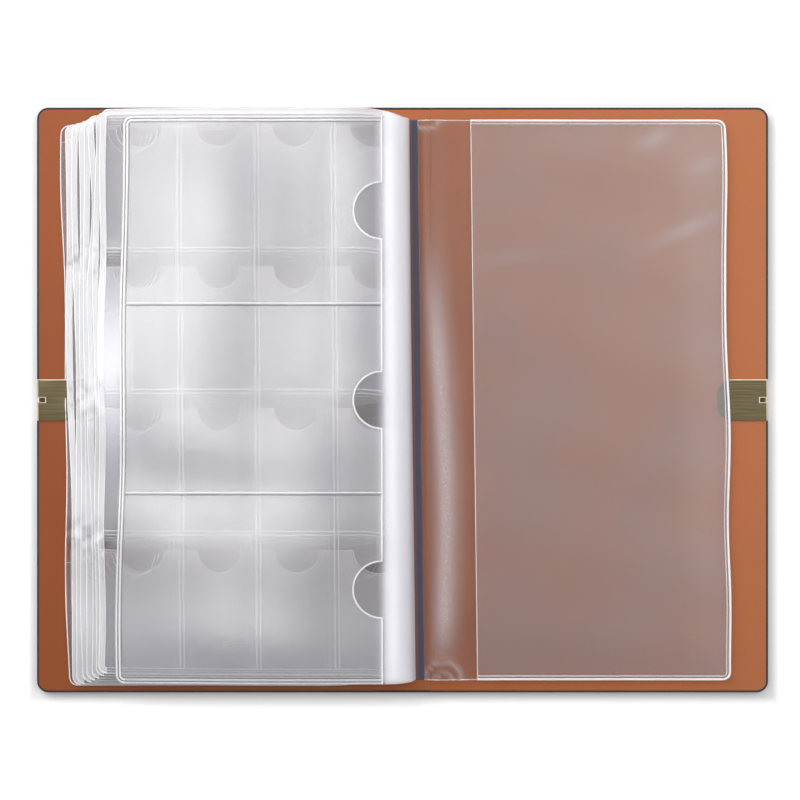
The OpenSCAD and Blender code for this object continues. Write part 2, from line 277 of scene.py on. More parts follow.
def make_leatherette(name, dark, light, roughness, grain, depth, paints_shade=False):
    finish, tree = start_finish(name)
    tint = colours(tree, noise_of(tree, MOTTLE_SCALE, detail=5.0), dark, light)
    if paints_shade:
        tint = painted_shade_tint(tree, tint)
    pores = noise_of(tree, grain, detail=4.0)
    normal = grain_bump(tree, pores, PORE_STRENGTH, depth)
    rough = between(tree, pores, roughness - PORE_GLOSS, roughness + PORE_DULL)
    values = {"Base Color": tint, "Roughness": rough, "Specular IOR Level": LEATHER_SHEEN, "Normal": normal}
    end_finish(tree, add_node(tree, "ShaderNodeBsdfPrincipled", values))
    return finish


# %% [markdown]
# The clips are antiqued brass: brushed along the clip and dark on their faces. Their edges are lighter: the
# line along the upper long edge is a painted highlight, and the fold and the rim of the catch are partly
# bright from wear and partly painted highlight. The wear could be painted by hand. Here the lighter edges
# follow from the distance to the edges of the clip, which the frame gives, and a noise makes them uneven.

# %% Antique brass
CATCH_W, CATCH_L = 1.7 * MM, 3.0 * MM
AGED_BRASS = (0.055, 0.045, 0.024), (0.10, 0.082, 0.045), (0.17, 0.14, 0.08)
WORN_AND_LIT_BRASS = (0.68, 0.58, 0.41, 1)
LIT_LONG_EDGE, WORN_AND_LIT_FOLD = (0.4 * MM, 0.2 * MM), (0.7 * MM, 0.5 * MM)
WORN_AND_LIT_BESIDE, WORN_AND_LIT_END = (0.1 * MM, 0.25 * MM), (0.35 * MM, 0.2 * MM)
BRUSH_SCALE, BRUSH_STRETCH, AGED_SCALE = 60.0, (1, 40, 40), 90.0
BRUSH_STRENGTH, BRUSH_DEPTH = 0.25, 0.1 * MM
WORN_AND_LIT_SHARE, BRASS_ROUGHNESS = (0.65, 1.0), (0.28, 0.46)
clip_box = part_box("back_clip")


def make_brass():
    """Brushed and antiqued brass. Painted highlight on the upper long edge, wear and painted highlight at
    fold and catch.
    """
    finish, tree = start_finish("antique_brass")
    fold, half = clip_box[1].x, clip_box[1].y
    brushed = noise_of(tree, BRUSH_SCALE, detail=6.0, stretch=BRUSH_STRETCH)
    aged = noise_of(tree, AGED_SCALE, detail=4.0)
    aged_tint = colours(tree, brushed, *AGED_BRASS)
    place = add_node(tree, "ShaderNodeTexCoord").outputs["Object"]
    axes = add_node(tree, "ShaderNodeSeparateXYZ", {0: place}).outputs
    out, up = (combine(tree, "ABSOLUTE", axes[axis]) for axis in "XY")
    # Painted highlight: only the upper long edge is lightened, as if lit from above.
    long_edge = between(tree, axes["Y"], 0.0, 1.0, *(half - d for d in LIT_LONG_EDGE))
    fold_edge = between(tree, out, 0.0, 1.0, *(fold - d for d in WORN_AND_LIT_FOLD))
    beside_catch = between(tree, up, 1.0, 0.0, *(CATCH_W / 2 + d for d in WORN_AND_LIT_BESIDE))
    along_catch = between(tree, out, 0.0, 1.0, *(fold - CATCH_L - d for d in WORN_AND_LIT_END))
    catch = combine(tree, "MULTIPLY", beside_catch, along_catch)
    edge = combine(tree, "MAXIMUM", combine(tree, "MAXIMUM", long_edge, fold_edge), catch)
    worn_and_lit = combine(tree, "MULTIPLY", edge, between(tree, aged, *WORN_AND_LIT_SHARE))
    tint = mix_colours(tree, worn_and_lit, aged_tint, WORN_AND_LIT_BRASS)
    rough = between(tree, aged, *BRASS_ROUGHNESS)
    normal = grain_bump(tree, brushed, BRUSH_STRENGTH, BRUSH_DEPTH)
    values = {"Base Color": tint, "Metallic": 1.0, "Roughness": rough, "Normal": normal}
    end_finish(tree, add_node(tree, "ShaderNodeBsdfPrincipled", values))
    return finish


# %% [markdown]
# The boards, the magnets and the binding strip need little more than a colour and a fine bump. The strip
# also takes a brown line where its mesh asks for it. The finishes are then gathered under the names of
# the parts that they belong to, so that one loop can hand them out.

# %% Board, magnet and binding
FIBRE_STRENGTH, FIBRE_DEPTH = 0.2, 0.2 * MM


def make_plain(name, dark, light, roughness, scale, line_tint=None):
    """A plain fibrous or cast finish. A line tint colours it where an attribute of its mesh says so."""
    finish, tree = start_finish(name)
    fibres = noise_of(tree, scale, detail=5.0)
    tint = colours(tree, fibres, dark, light)
    if line_tint:
        browned = add_node(tree, "ShaderNodeAttribute", attribute_name="browned").outputs["Fac"]
        tint = mix_colours(tree, browned, tint, (*line_tint, 1))
    normal = grain_bump(tree, fibres, FIBRE_STRENGTH, FIBRE_DEPTH)
    values = {"Base Color": tint, "Roughness": roughness, "Normal": normal}
    end_finish(tree, add_node(tree, "ShaderNodeBsdfPrincipled", values))
    return finish


finishes = {
    "lining": make_leatherette(
        "brown_lining", (0.42, 0.136, 0.048), (0.48, 0.156, 0.056),
        roughness=0.52, grain=700.0, depth=0.1 * MM, paints_shade=True),
    "skin": make_leatherette(
        "dark_leatherette", (0.012, 0.012, 0.016), (0.028, 0.028, 0.036),
        roughness=0.45, grain=420.0, depth=0.2 * MM),
    "board": make_plain(
        "grey_board", (0.30, 0.25, 0.18), (0.42, 0.36, 0.27), roughness=0.9, scale=300.0),
    "magnet": make_plain(
        "dull_magnet", (0.06, 0.06, 0.065), (0.11, 0.11, 0.12), roughness=0.5, scale=500.0),
    "strip": make_plain(
        "navy_binding", (0.026, 0.025, 0.050), (0.039, 0.037, 0.074),
        roughness=0.5, scale=400.0, line_tint=(0.12, 0.046, 0.04)),
    "clip": make_brass(),
}
print("finishes:", sorted(m.name for m in bpy.data.materials))

# %% [markdown]
# ## Cover
#
# The boards, skin, lining and clips are rigid and their solids have the right shape. They keep it, and get
# a small rounding on their edges with a weld and a bevel modifier, because no folded or moulded edge is
# sharp.

# %% Cover
EDGE_ROUNDING = {
    "skin": 0.25 * MM, "lining": 0.12 * MM, "clip": 0.16 * MM, "board": 0.1 * MM, "magnet": 0.15 * MM}
SAME_POINT = 0.001 * MM
BEVEL_SEGMENTS = 3
BEVEL_ANGLE = math.radians(40)


def round_edges(node, width):
    weld = node.modifiers.new("weld", "WELD")
    weld.merge_threshold = SAME_POINT
    bevel = node.modifiers.new("bevel", "BEVEL")
    bevel.width = width
    bevel.segments = BEVEL_SEGMENTS
    bevel.limit_method = "ANGLE"
    bevel.angle_limit = BEVEL_ANGLE
    bevel.harden_normals = True


for name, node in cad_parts.items():
    part = name.split("_")[-1]
    if part in finishes:
        node.data.materials.clear()
        node.data.materials.append(finishes[part])
    if part in EDGE_ROUNDING:
        round_edges(node, EDGE_ROUNDING[part])
print("nodes with rounded edges:", sum(name.split("_")[-1] in EDGE_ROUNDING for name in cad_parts))

# %% [markdown]
# ## Catches
#
# A thin tongue of the dark skin finish, rounded at its inner end, lies on the lining under the catch
# notch of each clip, so that the notch shows dark.

# %% Catches
TONGUE_T = 0.06 * MM
TONGUE_PAST = 0.6 * MM
TONGUE_SHORT = 1.2 * MM
TONGUE_POINTS = 9


def catch_tongue(name, body, side):
    low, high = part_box(name + "_clip")
    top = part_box(name + "_lining")[1].z + TONGUE_T
    far = high.x if side > 0 else -low.x
    half, inner = CATCH_W / 2 + TONGUE_PAST, far - CATCH_L - TONGUE_PAST
    angles = np.linspace(-math.pi / 2, math.pi / 2, TONGUE_POINTS)
    end = [(inner + half * (1 - math.cos(a)), half * math.sin(a)) for a in angles]
    outline = [*end, (far - TONGUE_SHORT, half), (far - TONGUE_SHORT, -half)]
    shape = bmesh.new()
    corners = [shape.verts.new((side * x, y, top - TONGUE_T)) for x, y in outline]
    face = shape.faces.new(corners)
    raised = bmesh.ops.extrude_face_region(shape, geom=[face])["geom"]
    for vertex in (v for v in raised if isinstance(v, bmesh.types.BMVert)):
        vertex.co.z = top
    bmesh.ops.recalc_face_normals(shape, faces=shape.faces)
    mesh = bpy.data.meshes.new(name + "_catch_tongue")
    shape.to_mesh(mesh)
    shape.free()
    mesh.materials.append(finishes["skin"])
    tongue = bpy.data.objects.new(mesh.name, mesh)
    scene.collection.objects.link(tongue)
    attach(tongue, body)
    print(tongue.name, "top in mm:", round(top / MM, 2))


catch_tongue("front", "front_cover", -1)
catch_tongue("back", "back_cover", 1)

# %% [markdown]
# ## Cutting film
#
# A film is cut flat, so its outline is drawn flat too, in millimetres: u runs from the bend to the
# fore-edge and v from tail to head. A curve object could hold it, but plain lists of points are easier to
# measure, to join and to draw in by the width of a seam.

# %% Outlines
ARC_STEP = math.radians(12)
LEAST_CORNER = 0.3


def arc(centre, radius, start, end):
    steps = max(2, round(abs(end - start) / ARC_STEP))
    angles = np.linspace(start, end, steps + 1)
    return [(centre[0] + radius * math.cos(a), centre[1] + radius * math.sin(a)) for a in angles]


def tab_line(u0, u1, height, corner, inset=0.0):
    """The three outer sides of a leaf, from its tail to its head, drawn in by an inset."""
    half, far, r = height / 2 - inset, u1 - inset, max(corner - inset, LEAST_CORNER)
    low = arc((far - r, r - half), r, -math.pi / 2, 0)
    high = arc((far - r, half - r), r, 0, math.pi / 2)
    return [(u0, -half), *low, *high, (u0, half)]


def with_steps(line, step, closed):
    """The same line with extra points, none further apart than a step."""
    line = np.array(line)
    ends = np.roll(line, -1, axis=0) if closed else line[1:]
    points = []
    for a, b in zip(line, ends):
        count = max(1, math.ceil(np.linalg.norm(b - a) / step))
        points += [a + (b - a) * i / count for i in range(count)]
    if not closed:
        points.append(line[-1])
    return np.array(points)


# %% [markdown]
# The outline is filled with points on a loose grid, none too near the rim, and Blender joins them to
# triangles of an even size. A plane with a cut-out would have no points to bend at, and this sheet has to
# bend and ripple when it is laid in its place.

# %% Filling an outline
GRID = 2.3
CLEAR_OF_RIM = 0.45
SAME_FLAT_POINT = 1e-6


def inside(points, outline):
    """Which points lie inside a closed outline, counted by how many of its sides a ray crosses."""
    crossed = np.zeros(len(points), bool)
    for a, b in zip(outline, np.roll(outline, -1, axis=0)):
        if a[1] != b[1]:
            spans = (points[:, 1] < a[1]) != (points[:, 1] < b[1])
            crossed ^= spans & (points[:, 0] < a[0] + (points[:, 1] - a[1]) * (b[0] - a[0]) / (b[1] - a[1]))
    return crossed


def fill(outline, step):
    """Points and triangles of a flat sheet inside an outline."""
    rim = with_steps(outline, step, closed=True)
    low, high = rim.min(0), rim.max(0)
    axes = [np.linspace(a, b, max(2, round((b - a) / step) + 1)) for a, b in zip(low, high)]
    grid = np.stack(np.meshgrid(*axes), -1).reshape(-1, 2)
    grid = grid[inside(grid, rim)]
    gap = np.min(np.linalg.norm(grid[:, None] - rim[None], axis=2), axis=1)
    points = np.vstack([rim, grid[gap > CLEAR_OF_RIM * step]])
    sides = [(i, (i + 1) % len(rim)) for i in range(len(rim))]
    made = delaunay_2d_cdt([Vector(p) for p in points], sides, [], 1, SAME_FLAT_POINT)
    return np.array([tuple(p) for p in made[0]]), [tuple(f) for f in made[2]]


# %% [markdown]
# ## Laying a leaf
#
# Each leaf stands with its root on the strip, bends over on its own radius and lies flat. First come the
# ripples. A real film is never quite flat, and a slow ripple makes it catch the light. The leaves of the
# stack share one, so that they lie on each other. Sines of a few lengths and directions are enough, and a
# fixed seed gives the same ones each time.

# %% Ripples
rng = np.random.default_rng(5)


def make_ripple(height, wave_low, wave_high, count):
    """A smooth surface made of a few sine waves, as a function of x and y in millimetres."""
    length = rng.uniform(wave_low, wave_high, count)
    way = rng.uniform(0, 2 * math.pi, count)
    phase = rng.uniform(0, 2 * math.pi, count)

    def ripple(x, y):
        along = np.outer(x, np.cos(way)) + np.outer(y, np.sin(way))
        return height * np.sin(2 * math.pi * along / length + phase).mean(1)

    return ripple


def smooth(t):
    t = np.clip(t, 0, 1)
    return t * t * (3 - 2 * t)


def nearest(value, lines):
    return np.min(np.abs(np.asarray(value)[:, None] - np.asarray(lines)[None]), axis=1)


root_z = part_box("binding_strip")[1].z / MM
leaf_h = (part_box("card_leaf_sheet")[1].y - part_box("card_leaf_sheet")[0].y) / MM
ROWS = 4
row_pitch = leaf_h / ROWS
row_starts = [-leaf_h / 2 + i * row_pitch for i in range(ROWS)]
CRUMPLE_X, CRUMPLE_RUN, CRUMPLE_V = -98.0, 10.0, 5.0
slow_ripple = make_ripple(height=0.9, wave_low=35, wave_high=110, count=7)
end_ripple = make_ripple(height=0.5, wave_low=30, wave_high=90, count=7)
crumple = make_ripple(height=1.3, wave_low=4.5, wave_high=10, count=9)


def stack_ripple(x, y):
    """The slow ripple of the stack, and its crumple where a row of pockets meets the fore-edges."""
    near_edge = smooth((CRUMPLE_X - x) / CRUMPLE_RUN)
    near_row = np.exp(-((nearest(y, row_starts[1:]) / CRUMPLE_V) ** 2))
    return slow_ripple(x, y) + crumple(x, y) * near_edge * near_row


print("leaf height in mm:", round(leaf_h, 1), "with rows every", round(row_pitch, 2))

# %% [markdown]
# The radius, the place and the length of a leaf come from the frame. One function carries every point of a
# leaf there: round the bend where u is below zero, flat elsewhere. The bound block sits a little askew in
# the cover, so the roots lean, and each fore-edge has a lean of its own and strays a little from its line.

# %% Leaves in the frame
ROOT_LEAN = math.radians(0.7)
SAG_START, SAG_LENGTH = 50.0, 50.0
SAG_EASE, SAG_EASE_V, SAG_EASE_W = 0.85, 18.0, 40.0
RIPPLE_START = 20.0
DROP_SHARE = 0.2
BEND_SQUEEZE = 0.88
BEND_GLINT_FROM, BEND_GLINT_RUN = 4.0, 4.5
EDGE_STRAY, STRAY_POWER = 1.1, 3


def painted_bend_highlight(u, v):
    """A painted highlight along the bend of a leaf, drawn as milky film."""
    return smooth((BEND_GLINT_FROM - u) / BEND_GLINT_RUN)


def read_leaf(
        name, side, edge_lean, drop, sag, ripple, lean_run=1.0, stray=EDGE_STRAY, whitening=painted_bend_highlight):
    """What the frame says of a leaf: side is -1 for the left stack and 1 for the right."""
    low, high = (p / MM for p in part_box(name + "_sheet"))
    return {
        "name": name,
        "side": side,
        "bend_r": (low.z + high.z) / 2 - root_z,
        "bend_x": high.x if side < 0 else low.x,
        "flat": high.x - low.x,
        "edge_lean": edge_lean,
        "lean_run": lean_run,
        "whitening": whitening,
        "drop": drop,
        "sag": sag,
        "ripple": ripple,
        "wobble": make_ripple(stray, wave_low=50, wave_high=150, count=4),
    }


def settle(u, v):
    """How far the film has sunk towards its fore-edge. Near the middle of the leaf it is held up."""
    held = SAG_EASE * np.exp(-(((v - SAG_EASE_V) / SAG_EASE_W) ** 2))
    return np.clip((u - SAG_START) / SAG_LENGTH, 0, None) ** 2 * (1 - held)


def lay(leaf, u, v, w):
    """Carries flat points to their place in the frame, in metres. w is the height above the base film."""
    r = leaf["bend_r"]
    turn = np.clip(-u / r, 0, math.pi / 2)
    share = (u + r * math.pi / 2) / (leaf["flat"] + r * math.pi / 2)
    turned = np.clip(share, 0, None) ** leaf["lean_run"]
    lean = math.tan(ROOT_LEAN) * (1 - turned) + math.tan(leaf["edge_lean"]) * turned
    wobble = leaf["wobble"](u, v) * np.clip(share, 0, 1) ** STRAY_POWER
    out = np.maximum(u, 0) + wobble - np.sin(turn) * (r + w) * BEND_SQUEEZE
    x = leaf["bend_x"] + leaf["side"] * out - v * lean
    y = v - leaf["drop"] * smooth(share / DROP_SHARE)
    flat_share = np.clip(u / RIPPLE_START, 0, 1)
    z = root_z + np.cos(turn) * (r + w) + leaf["ripple"](x, y) * flat_share - leaf["sag"] * settle(u, v)
    return np.column_stack([x, y, z]) * MM


# %% [markdown]
# Each piece of a leaf gets its finish and smooth shading. The main pieces replace the solids of the frame,
# which are hidden.

# %% Dressing a leaf
SHARP_ANGLE = math.radians(50)


def dress(piece, leaf, finish, slot, *nodes):
    """Gives a leaf's piece its finish and smooth shading, and hides the CAD nodes that it replaces."""
    scene.collection.objects.link(piece)
    piece.data.materials.append(finish)
    piece.data.shade_smooth()
    piece.data.set_sharp_from_angle(angle=SHARP_ANGLE)
    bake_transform(piece)
    if nodes:
        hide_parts(*(f"{leaf['name']}_{node}" for node in nodes))


# %% [markdown]
# A film is a closed sheet of the real thickness. A solidify modifier could thicken a single layer of faces.
# Here both skins are laid at their own height, so that the thickness stays right round the bend too.

# %% Film sheets
FILM_T = 0.15


def film_sheet(name, leaf, outlines, rise, step=GRID):
    """A closed thin film of one or more cut shapes. rise gives its height over the leaf's base film."""
    points, faces, painted_glint = [], [], []
    for outline in outlines:
        flat, triangles = fill(outline, step)
        count, first = len(flat), len(points)
        u, v = flat.T
        height = rise(u, v)
        points += [*lay(leaf, u, v, height + FILM_T / 2), *lay(leaf, u, v, height - FILM_T / 2)]
        # Each point keeps the strength of the leaf's painted highlight.
        painted_glint += 2 * [*leaf["whitening"](u, v)]
        directed = [(a, b) for t in triangles for a, b in zip(t, t[1:] + t[:1])]
        open_sides = set(directed) - {(b, a) for a, b in directed}
        upper = [tuple(first + i for i in t) for t in triangles]
        lower = [tuple(first + count + i for i in reversed(t)) for t in triangles]
        rim = [(first + b, first + a, first + count + a, first + count + b) for a, b in open_sides]
        faces += upper + lower + rim
    if leaf["side"] < 0:
        faces = [tuple(reversed(f)) for f in faces]
    mesh = bpy.data.meshes.new(name)
    mesh.from_pydata(points, [], faces)
    mesh.attributes.new("painted_glint", "FLOAT", "POINT").data.foreach_set("value", painted_glint)
    return bpy.data.objects.new(name, mesh)


def base_rise(u, v):
    return np.zeros_like(u)


# %% [markdown]
# A weld or a cut edge is a fine raised bead along a line. A curve with a round bevel could draw it, but it
# has to follow the bend and the ripple of its leaf, so a flattened tube is built round the line while it is
# flat and laid in the same way as the film.

# %% Beads
BEAD_SIDES = 6
WELD_RISE = 1.5 * FILM_T


def seam_lines(name, leaf, lines, rise, step=GRID):
    """Raised beads along lines, each given as (points, width, height), as closed flattened tubes."""
    around = np.arange(BEAD_SIDES) * 2 * math.pi / BEAD_SIDES
    points, faces = [], []
    for line, width, height in lines:
        path = with_steps(line, step, closed=False)
        ahead = np.gradient(path, axis=0)
        ahead /= np.linalg.norm(ahead, axis=1)[:, None]
        across = np.column_stack([-ahead[:, 1], ahead[:, 0]])
        first, count = len(points), len(path)
        spots = path[:, None] + across[:, None] * (np.cos(around) * width / 2)[None, :, None]
        lift = rise(*path.T)[:, None] + np.sin(around)[None] * height / 2
        points += [*lay(leaf, *spots.reshape(-1, 2).T, lift.ravel())]
        for i in range(count - 1):
            for j in range(BEAD_SIDES):
                a, b = (first + i * BEAD_SIDES + side for side in (j, (j + 1) % BEAD_SIDES))
                faces.append((a, b, b + BEAD_SIDES, a + BEAD_SIDES))
        faces.append(tuple(first + j for j in reversed(range(BEAD_SIDES))))
        faces.append(tuple(first + (count - 1) * BEAD_SIDES + j for j in range(BEAD_SIDES)))
    if leaf["side"] < 0:
        faces = [tuple(reversed(f)) for f in faces]
    mesh = bpy.data.meshes.new(name)
    mesh.from_pydata(points, [], faces)
    return bpy.data.objects.new(name, mesh)


def weld_rise(u, v):
    return np.full_like(u, WELD_RISE)


# %% [markdown]
# ## Penny leaves
#
# A penny leaf is a base film with four strips of pocket film welded over it, each strip with four
# half-round notches at its open top. The strips swell between the welds, where a coin goes, and are pinched
# at them. The outlines, the swell and the lines of the welds come first, all still flat.

# %% Pockets and welds
COLUMNS = 4
COLUMN_PITCH = 27.2
SEAM_W = 1.4
EDGE_SEAM_W = 2.3
MOUTH = 6.0
NOTCH_R = 7.7
CORNER_R = 3.0
POCKET_GAP = 0.7
SWELL = 7.0
WELD_W, WELD_H = 0.4, 0.35
ALL_ROUND, FORE_EDGE = (slice(None),), (slice(1, -1),)
HEAD_AND_TAIL = (slice(None, 2), slice(-2, None))


def pocket_height(u, v, u_seams, v_seams):
    """Height of pocket film: down on the base film at the seams, swelling between them."""
    swell = smooth(nearest(u, u_seams) / SWELL) * smooth(nearest(v, v_seams) / SWELL)
    return FILM_T + POCKET_GAP * swell


def penny_mouth(leaf, row, u0):
    """The open top of one row of penny pockets, with its notches."""
    far, y = leaf["flat"], row_starts[row] + row_pitch - MOUTH
    line = [(far, y)]
    for j in range(1, COLUMNS + 1):
        middle = far - EDGE_SEAM_W - j * COLUMN_PITCH + (SEAM_W + COLUMN_PITCH) / 2
        line += arc((middle, y), NOTCH_R, 0, -math.pi)
    return [*line, (u0, y)]


def penny_strip(leaf, row, u0):
    """Outline of one row of penny pockets."""
    far, y = leaf["flat"], row_starts[row]
    foot = arc((far - CORNER_R, y + CORNER_R), CORNER_R, -math.pi / 2, 0) if row == 0 else [(far, y)]
    return [(u0, y), *foot, *penny_mouth(leaf, row, u0)]


def edge_lines(u0, flat, height, parts=ALL_ROUND, **widths):
    """Lines along the outer sides of a leaf, each given as the inset and the width of a bead."""
    rims = [(tab_line(u0, flat, leaf_h, CORNER_R, inset), width) for inset, width in widths.values()]
    return [(rim[part], width, height) for rim, width in rims for part in parts]


def double_line(a, b):
    """Two fine beads along a weld from a to b."""
    a, b = np.array(a), np.array(b)
    ahead = (b - a) / np.linalg.norm(b - a)
    across = np.array([-ahead[1], ahead[0]]) * SEAM_W / 2
    return [([a + s * across, b + s * across], WELD_W, WELD_H) for s in (-1, 1)]


print("pockets on a penny leaf:", ROWS * COLUMNS)

# %% [markdown]
# The eight leaves differ by their place in the stack. The fore-edges fan out, because a leaf higher up
# spends more of its length on its wider bend, and it sags more towards its fore-edge. The last pockets of
# the upper leaves run on over the bend, as in the frame. The welds of the fore-edges catch more light than
# those of the head and the tail, so they are separate pieces with a brighter finish: a painted highlight.

# %% Penny leaves
PENNY_LEAVES = 8
FAN_LEAN, TOP_SAG, PENNY_STRAY = math.radians(1.0), 3.5, 1.3
FAN_DROP, TOP_LIFT, LIFT_POWER = 2.0, 5.0, 1.5
FAN_GLINT_RUN, FAN_GLINT_EASE, FAN_GLINT_V, FAN_GLINT_W = 16.0, 8.0, 8.0, 26.0
EDGE_BEADS, EDGE_BEAD_H = {"outer": (0.2, 0.4), "inner": (EDGE_SEAM_W - 0.15, 0.3)}, 0.4
BAND_H = 0.16
RIM_W = 0.28
OUTER_POINTS = 2 + round(math.pi / ARC_STEP)
pocket_finish = {1: first_film, PENNY_LEAVES: top_film}


def penny_leaf(k):
    fan = (PENNY_LEAVES - k) / (PENNY_LEAVES - 1)
    drop, sag = FAN_DROP - TOP_LIFT * (1 - fan) ** LIFT_POWER, TOP_SAG * (1 - fan)
    leaf = read_leaf(f"penny_leaf_{k}", -1, FAN_LEAN * fan, drop, sag, stack_ripple, stray=PENNY_STRAY)
    flat, root = leaf["flat"], -leaf["bend_r"] * math.pi / 2

    def whitening(u, v):
        """A painted highlight at the bend, and a painted reflection near the fore-edge of the upper leaves.
        """
        by_edge = smooth((u - flat + FAN_GLINT_RUN) / FAN_GLINT_EASE)
        by_clip = np.exp(-(((v - FAN_GLINT_V) / FAN_GLINT_W) ** 2))
        return np.maximum(painted_bend_highlight(u, v), (1 - fan) * by_edge * by_clip)

    leaf["whitening"] = whitening
    columns = [flat - EDGE_SEAM_W - j * COLUMN_PITCH + SEAM_W / 2 for j in range(1, COLUMNS + 1)]
    u0 = columns[-1] - SEAM_W / 2
    u_seams = [*columns, flat - EDGE_SEAM_W / 2]

    def rise(u, v):
        return pocket_height(u, v, u_seams, row_starts)

    base = film_sheet(leaf["name"] + "_film", leaf, [tab_line(root, flat, leaf_h, CORNER_R)], base_rise)
    dress(base, leaf, first_film if k == 1 else base_film, "film", "root", "sheet")
    strips = [penny_strip(leaf, row, u0) for row in range(ROWS)]
    pockets = film_sheet(leaf["name"] + "_strips", leaf, strips, rise)
    dress(pockets, leaf, pocket_finish.get(k, penny_film), "film", "pockets")
    beads = edge_lines(u0, flat, EDGE_BEAD_H, FORE_EDGE, **EDGE_BEADS)
    fore_welds = seam_lines(leaf["name"] + "_edge_welds", leaf, beads, weld_rise)
    dress(fore_welds, leaf, bright_seam, "seam", "seams")
    beads = edge_lines(u0, flat, EDGE_BEAD_H, HEAD_AND_TAIL, **EDGE_BEADS)
    dress(seam_lines(leaf["name"] + "_side_welds", leaf, beads, weld_rise), leaf, rim_seam, "seam")
    if k > 1:
        band = [(tab_line(u0, flat, leaf_h, CORNER_R, EDGE_SEAM_W / 2)[1:], EDGE_SEAM_W, BAND_H)]
        dress(seam_lines(leaf["name"] + "_edge_bands", leaf, band, weld_rise), leaf, fused_film, "seam")
    lines = []
    for u in columns:
        lines += double_line((u, -leaf_h / 2 + EDGE_SEAM_W), (u, leaf_h / 2 - EDGE_SEAM_W))
    for y in row_starts[1:]:
        lines += double_line((u0, y), (flat - EDGE_SEAM_W, y))
    weld_finish = rim_seam if k == PENNY_LEAVES else faint_seam
    dress(seam_lines(leaf["name"] + "_pocket_welds", leaf, lines, weld_rise), leaf, weld_finish, "seam")
    mouths = [penny_mouth(leaf, row, u0) for row in range(ROWS)]
    rims = [(part, RIM_W, RIM_W) for mouth in mouths for part in (mouth[:2], mouth[OUTER_POINTS - 1:])]
    dress(seam_lines(leaf["name"] + "_mouths", leaf, rims, rise), leaf, faint_seam, "seam")
    outer = [(mouth[1:OUTER_POINTS], RIM_W, RIM_W) for mouth in mouths]
    outer_finish = faint_seam if k == PENNY_LEAVES else bright_seam
    dress(seam_lines(leaf["name"] + "_outer_notches", leaf, outer, rise), leaf, outer_finish, "seam")
    return leaf


penny = [penny_leaf(k) for k in range(1, PENNY_LEAVES + 1)]
print("penny leaves:", len(penny), "flat lengths in mm:", [round(p["flat"], 1) for p in penny])

# %% [markdown]
# ## Card leaf
#
# The card leaf lies on top of the stack. Its pocket film is open towards the bend, with one half-round
# notch at each of three pockets, and two welds part the pockets. A pressed weld is a bright bead beside a
# groove. The groove is not cut: its shade is painted as a dark strip of film beside the bead. Both are
# separate pieces with their own finishes.

# %% Card leaf
CARD_ROWS = 3
CARD_ROOT_STRIP = 1.8
CARD_NOTCH_R = 10.0
CARD_RIM_W = 0.55
CARD_GAP, CARD_SWELL = 0.35, 18.0
CARD_LEAN, CARD_LEAN_RUN, CARD_SAG = math.radians(-0.6), 0.4, 2.2
CARD_BEADS, CARD_BEAD_H = {"outer": (0.35, 0.6), "inner": (1.45, 0.65)}, 0.5
GROOVE_SHADES, GROOVE_W, GROOVE_H = {"between": (0.85, 0.35), "inside": (2.05, 0.35)}, 0.6, 0.1
BEAD_BESIDE_GROOVE = 0.7

card = read_leaf("card_leaf", -1, CARD_LEAN, 0.0, CARD_SAG, stack_ripple, lean_run=CARD_LEAN_RUN)
card_pitch = leaf_h / CARD_ROWS
card_welds = [-leaf_h / 2 + i * card_pitch for i in range(CARD_ROWS + 1)]


def card_rise(u, v):
    swell = smooth(nearest(u, [card["flat"]]) / CARD_SWELL) * smooth(nearest(v, card_welds) / CARD_SWELL)
    return FILM_T + CARD_GAP * swell


def card_mouth():
    """The open side of the card pockets, from head to tail, with its notches."""
    line = [(CARD_ROOT_STRIP, leaf_h / 2)]
    for i in reversed(range(CARD_ROWS)):
        middle = card_welds[i] + card_pitch / 2
        line += arc((CARD_ROOT_STRIP, middle), CARD_NOTCH_R, math.pi / 2, -math.pi / 2)
    return [*line, (CARD_ROOT_STRIP, -leaf_h / 2)]


card_root = -card["bend_r"] * math.pi / 2
card_sheet = tab_line(card_root, card["flat"], leaf_h, CORNER_R)
card_base = film_sheet("card_leaf_film", card, [card_sheet], base_rise)
dress(card_base, card, card_base_film, "film", "root", "sheet")
card_outline = [*tab_line(CARD_ROOT_STRIP, card["flat"], leaf_h, CORNER_R)[:-1], *card_mouth()[:-1]]
card_pockets = film_sheet("card_leaf_pocket_film", card, [card_outline], card_rise)
dress(card_pockets, card, card_film, "film", "pockets")
# As on the penny leaves, the fore-edge welds take the brighter finish, a painted highlight.
card_lines = edge_lines(CARD_ROOT_STRIP, card["flat"], CARD_BEAD_H, FORE_EDGE, **CARD_BEADS)
card_sides = edge_lines(CARD_ROOT_STRIP, card["flat"], CARD_BEAD_H, HEAD_AND_TAIL, **CARD_BEADS)
shades = edge_lines(CARD_ROOT_STRIP, card["flat"], GROOVE_H, **GROOVE_SHADES)
for y in card_welds[1:-1]:
    ends = np.array([(CARD_ROOT_STRIP, y), (card["flat"] - EDGE_SEAM_W, y)])
    shades.append((ends, GROOVE_W, GROOVE_H))
    card_lines.append((ends + [0, BEAD_BESIDE_GROOVE], WELD_W, WELD_H))
dress(seam_lines("card_leaf_welds", card, card_lines, weld_rise), card, bright_seam, "seam", "seams")
dress(seam_lines("card_leaf_side_welds", card, card_sides, weld_rise), card, rim_seam, "seam")
dress(seam_lines("card_leaf_groove_shades", card, shades, weld_rise), card, painted_shade_weld, "seam")
card_rim = seam_lines("card_leaf_mouth", card, [(card_mouth(), CARD_RIM_W, RIM_W)], card_rise)
dress(card_rim, card, bright_seam, "seam")
print("card leaf flat length in mm:", round(card["flat"], 1))

